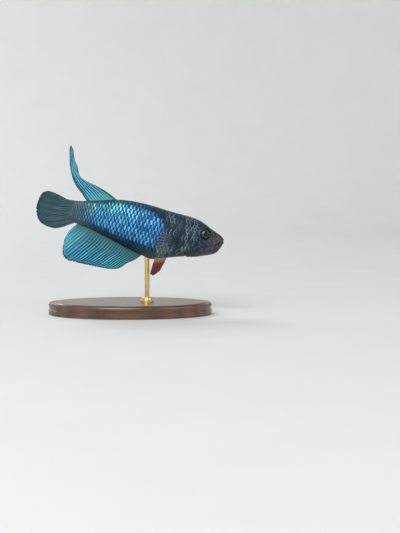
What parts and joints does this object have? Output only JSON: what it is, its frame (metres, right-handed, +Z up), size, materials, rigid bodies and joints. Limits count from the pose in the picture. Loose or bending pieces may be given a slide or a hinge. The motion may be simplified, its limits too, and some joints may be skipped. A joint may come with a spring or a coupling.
{
  "type": "betta fish model on a display stand",
  "caption": "Life-size still model of a short-finned male betta, head down, fins half folded, held by a rod on an oval base.",
  "frame": {"origin": "the middle of the object's box, on the underside of the stand's base", "axes": "+X towards the fish's snout, +Y to the fish's left, +Z up"},
  "size_m": [0.0594, 0.034, 0.0538],
  "materials": {
    "head_skin": "blackish navy, wet and finely scaled",
    "scaled_skin": "iridescent royal to light blue scales with dark edges, wet",
    "fin": "turquoise rays and dark teal membrane, satin",
    "pectoral_fin": "clear membrane with fine dark rays",
    "pelvic_fin": "deep red with a dark tip, satin",
    "eye": "black pupil in a dark iris under a clear glossy cornea",
    "stand_wood": "dark stained walnut, satin lacquer",
    "stand_brass": "satin brass"
  },
  "bodies": {
    "root": {"head": "head_skin", "lower_jaw": "head_skin", "gill_cover_left": "head_skin", "gill_cover_right": "head_skin", "eye_left": "eye", "eye_right": "eye", "trunk": "scaled_skin", "tail": "scaled_skin", "dorsal_fin": "fin", "anal_fin": "fin", "caudal_fin": "fin", "pectoral_fin_left": "pectoral_fin", "pectoral_fin_right": "pectoral_fin", "pelvic_fin_left": "pelvic_fin", "pelvic_fin_right": "pelvic_fin", "stand_base": "stand_wood", "stand_rod": "stand_brass", "stand_collar": "stand_brass"}
  },
  "joints": []
}
